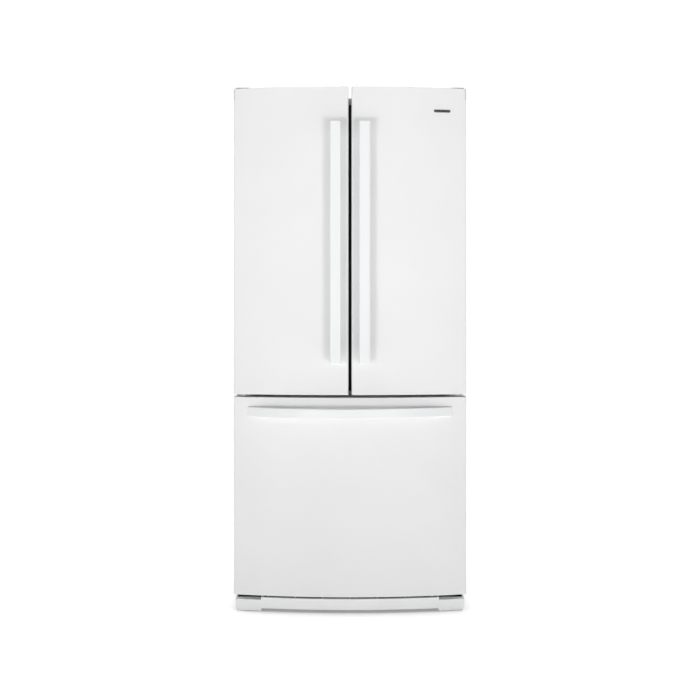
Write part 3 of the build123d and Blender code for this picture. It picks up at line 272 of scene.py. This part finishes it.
materials = {
    "door_white": enamel("door_white", (0.838, 0.836, 0.835), (0.868, 0.866, 0.865)),
    "cabinet_white": enamel("cabinet_white", (0.80, 0.805, 0.81), (0.84, 0.845, 0.85), (0.4, 0.5), 0.0001),
    "handle_white": enamel("handle_white", (0.85, 0.868, 0.872), (0.872, 0.888, 0.892),
                           (0.34, 0.42), 0.00003),
    "cap_grey": moulded("cap_grey", (0.66, 0.665, 0.67), (0.72, 0.725, 0.73)),
    # dark grey seal rubber: partly its own colour, partly painted shade that keeps the gaps between the
    # doors and the drawer dark
    "seal_grey": moulded("seal_grey", (0.06, 0.061, 0.063), (0.08, 0.082, 0.084), (0.5, 0.65)),
    "liner_white": enamel("liner_white", (0.82, 0.83, 0.84), (0.86, 0.87, 0.88), (0.2, 0.28), 0.00004),
    "foam_cream": moulded("foam_cream", (0.62, 0.52, 0.32), (0.74, 0.66, 0.45), (0.8, 0.95), 0.0004, 500.0),
    "shelf_white": enamel("shelf_white", (0.80, 0.81, 0.82), (0.85, 0.86, 0.87), (0.4, 0.5), 0.0001),
    "clear_glass": clear("clear_glass", (0.91, 0.97, 0.955), (0.01, 0.04), 1.52),
    "clear_plastic": clear("clear_plastic", (0.95, 0.96, 0.965), (0.08, 0.16), 1.45, 0.72),
    "lamp_lens": clear("lamp_lens", (0.93, 0.93, 0.90), (0.35, 0.5), 1.49, 0.6),
    "zinc_steel": plated("zinc_steel", (0.56, 0.57, 0.58), (0.64, 0.65, 0.66), (0.34, 0.44), 140.0),
    "screw_steel": plated("screw_steel", (0.58, 0.58, 0.59), (0.72, 0.72, 0.73), (0.2, 0.3), 400.0),
    "grille_white": moulded("grille_white", (0.85, 0.855, 0.86), (0.88, 0.885, 0.89)),
    "basket_white": moulded("basket_white", (0.80, 0.81, 0.82), (0.85, 0.86, 0.87), (0.3, 0.4)),
    # near-black enamel; on the mullion strip its tone is painted shade in the gap between the doors
    "black_enamel": enamel("black_enamel", (0.012, 0.012, 0.013), (0.02, 0.02, 0.022)),
    "copper_tube": plated("copper_tube", (0.55, 0.27, 0.15), (0.75, 0.42, 0.27), (0.25, 0.45), 200.0),
    "badge_grey": plated("badge_grey", (0.12, 0.12, 0.13), (0.2, 0.2, 0.21), (0.3, 0.4), 500.0),
    "black_plastic": moulded("black_plastic", (0.014, 0.014, 0.015), (0.03, 0.03, 0.032)),
    "roller_grey": moulded("roller_grey", (0.09, 0.09, 0.095), (0.14, 0.14, 0.145)),
    "button_grey": moulded("button_grey", (0.55, 0.57, 0.60), (0.62, 0.64, 0.67), (0.3, 0.4)),
}


def floor_material():
    """White paper that glows, its glow dimmed close to whatever stands on it: a painted contact shadow."""
    surface = Surface("floor_white", specular=0.2)
    surface.color(surface.noise(2.0), (0.86, 0.86, 0.86), (0.88, 0.88, 0.88))
    surface.roughness(surface.noise(20.0), 0.55, 0.65)
    painted_shadow_ao = surface.tree.nodes.new("ShaderNodeAmbientOcclusion")
    painted_shadow_ao.inputs["Distance"].default_value = FLOOR_SHADE_REACH
    glow = surface.tree.nodes.new("ShaderNodeMapRange")
    glow.inputs["From Min"].default_value = 0.2
    glow.inputs["To Min"].default_value = FLOOR_GLOW_UNDER
    glow.inputs["From Max"].default_value = 1.0
    glow.inputs["To Max"].default_value = FLOOR_GLOW
    surface.link(painted_shadow_ao.outputs["AO"], glow.inputs["Value"])
    surface.link(glow.outputs["Result"], surface.shader.inputs["Emission Strength"])
    surface.shader.inputs["Emission Color"].default_value = PAPER_WHITE
    return surface.material


def dress_cad_nodes():
    """Every CAD node takes the material of its record slot."""
    for entry in frame["record"]["subparts"]:
        node = nodes[entry["node"]]
        node.data.materials.clear()
        node.data.materials.append(materials[entry["material_slot"]].material)


# ---------------------------------------------------------------- folded seals and mullion strip, in mm
MM = 0.001
SEAL_SLOT = 0.01              # half of the slot between the two lips at rest
LIP_TO_BASE = 12.5
BULB_INSET = 2.0
DRAWER_BULB_INSET = 6.5
HINGE_SIDE_INSET = 16.5       # the bulb stands this far in from the hinge side of the base
LIP_BELOW_TOP = 17.0
WELD_HEIGHT = 9.0             # short tab above the lip, where the seal's corner is welded
WELD_SLOT = 2.5
SHARP_ANGLE = 40
PLATE_NEAR = 19               # edges of the mullion's steel strip, from the mullion's front
PLATE_FAR = 39
PLATE_END = 13
PLATE_STEPS = ((0, 1.7), (0, 0.7), (0.5, 0.3))      # inset and depth, from the back to the face

# profiles in mm: across the seal, then towards the cabinet
SEAL_BASE = [(0, 0), (17, 0), (17, 2.2), (16.2, 3.2), (16.2, 4.4), (13.5, 5.4), (3.5, 5.4),
             (0.8, 4.4), (0.8, 3.2), (0, 2.2)]
SEAL_BULB = [(1.6, 4.9), (9.4, 4.9), (8.8, 5.8), (10.7, 7.1), (8.9, 8.5), (11.0, 9.9), (11.0, 12.2),
             (9.9, 13.4), (7.5, 13.7), (3.5, 13.7), (1.1, 13.4), (0, 12.2), (0, 9.9), (2.1, 8.5),
             (0.3, 7.1), (2.2, 5.8)]
SEAL_LIP = [(0, 2.1), (0, 1.5), (0.8, 1.1), (2.4, 1.2), (6.0, 1.1), (14.7, 1.1), (14.7, 3.5),
            (6.0, 3.4), (2.2, 2.4), (0.7, 2.4)]


def join_rings(shape, ring, following):
    """Skins between two rings that have the same number of points."""
    for point in range(len(ring)):
        after = (point + 1) % len(ring)
        shape.faces.new((ring[point], ring[after], following[after], following[point]))


def sweep_frame(shape, rectangle, y_front, profile):
    """Runs a profile round a rectangle, with mitred corners; x of the profile points inwards."""
    x0, x1, z0, z1 = rectangle
    corners = [(x0, z0, 1, 1), (x1, z0, -1, 1), (x1, z1, -1, -1), (x0, z1, 1, -1)]
    rings = []
    for x, z, inward_x, inward_z in corners:
        ring = [shape.verts.new((x + inward_x * step * MM, y_front + depth * MM, z + inward_z * step * MM))
                for step, depth in profile]
        rings.append(ring)
    for index, ring in enumerate(rings):
        join_rings(shape, ring, rings[(index + 1) % len(rings)])


def extrude_up(shape, x, side, y_front, z0, z1, profile):
    """Stands a profile up between two heights; side is +1 or -1 for its direction in x."""
    rings = [[shape.verts.new((x + side * step * MM, y_front + depth * MM, z)) for step, depth in profile]
             for z in (z0, z1)]
    join_rings(shape, rings[0], rings[1])
    shape.faces.new(rings[0])
    shape.faces.new(rings[1])


def finish_piece(name, shape, slot, body, *replaced):
    """Turns a bmesh into a smooth-shaded piece that rides on a body."""
    bmesh.ops.recalc_face_normals(shape, faces=shape.faces)
    mesh = bpy.data.meshes.new(name)
    shape.to_mesh(mesh)
    shape.free()
    for face in mesh.polygons:
        face.use_smooth = True
    mesh.set_sharp_from_angle(angle=math.radians(SHARP_ANGLE))
    piece = bpy.data.objects.new(name, mesh)
    bpy.context.scene.collection.objects.link(piece)
    mesh.materials.append(materials[slot].material)
    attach(piece, body)
    if replaced:
        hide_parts(*replaced)


def door_seal(name, side):
    """Seal of one door: base, folded bulb set in from the hinge, and the lip in the middle gap."""
    low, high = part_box(name + "_gasket")
    lip_x = side * min(abs(low[0]), abs(high[0]))
    hinge_x = side * max(abs(low[0]), abs(high[0]))
    middle_x = lip_x + side * LIP_TO_BASE * MM
    x0, x1 = sorted((middle_x, hinge_x))
    bulb_x0, bulb_x1 = sorted((middle_x + side * BULB_INSET * MM, hinge_x - side * HINGE_SIDE_INSET * MM))
    shape = bmesh.new()
    sweep_frame(shape, (x0, x1, low[2], high[2]), low[1], SEAL_BASE)
    bulb_z0, bulb_z1 = low[2] + BULB_INSET * MM, high[2] - BULB_INSET * MM
    sweep_frame(shape, (bulb_x0, bulb_x1, bulb_z0, bulb_z1), low[1], SEAL_BULB)
    extrude_up(shape, side * SEAL_SLOT * MM, side, low[1], low[2], high[2] - LIP_BELOW_TOP * MM, SEAL_LIP)
    weld_x = lip_x + side * WELD_SLOT * MM
    extrude_up(shape, weld_x, side, low[1], high[2] - WELD_HEIGHT * MM, high[2], SEAL_LIP)
    finish_piece(name + "_seal", shape, "seal_grey", name, name + "_gasket")


def drawer_seal():
    low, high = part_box("drawer_gasket")
    shape = bmesh.new()
    sweep_frame(shape, (low[0], high[0], low[2], high[2]), low[1], SEAL_BASE)
    inset = DRAWER_BULB_INSET * MM
    bulb_z0, bulb_z1 = low[2] + BULB_INSET * MM, high[2] - BULB_INSET * MM
    sweep_frame(shape, (low[0] + inset, high[0] - inset, bulb_z0, bulb_z1), low[1], SEAL_BULB)
    finish_piece("drawer_seal", shape, "seal_grey", "freezer_drawer", "drawer_gasket")


def mullion_shade_strip():
    """A steel strip in the recess of the folding mullion, where the two door seals meet; its near-black
    tone is painted shade that darkens the gap between the doors.
    """
    low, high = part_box("flipper_mullion")
    shape = bmesh.new()
    rings = []
    for inset, depth in PLATE_STEPS:
        x = high[0] - depth * MM
        near, far = low[1] + (PLATE_NEAR + inset) * MM, low[1] + (PLATE_FAR - inset) * MM
        bottom, top = low[2] + (PLATE_END + inset) * MM, high[2] - (PLATE_END + inset) * MM
        corners = ((near, bottom), (far, bottom), (far, top), (near, top))
        rings.append([shape.verts.new((x, y, z)) for y, z in corners])
    for ring, following in zip(rings, rings[1:]):
        join_rings(shape, ring, following)
    shape.faces.new(rings[0])
    shape.faces.new(rings[-1])
    # painted shade: the strip takes the near-black enamel to keep the gap between the doors dark
    finish_piece("mullion_shade_strip", shape, "black_enamel", "flipper")


# ---------------------------------------------------------------- build the scene
dress_cad_nodes()
add_world()
add_camera()
add_floor(floor_material())
door_seal("left_door", -1)
door_seal("right_door", 1)
drawer_seal()
mullion_shade_strip()
for light in AREA_LIGHTS:
    add_area_light(*light)
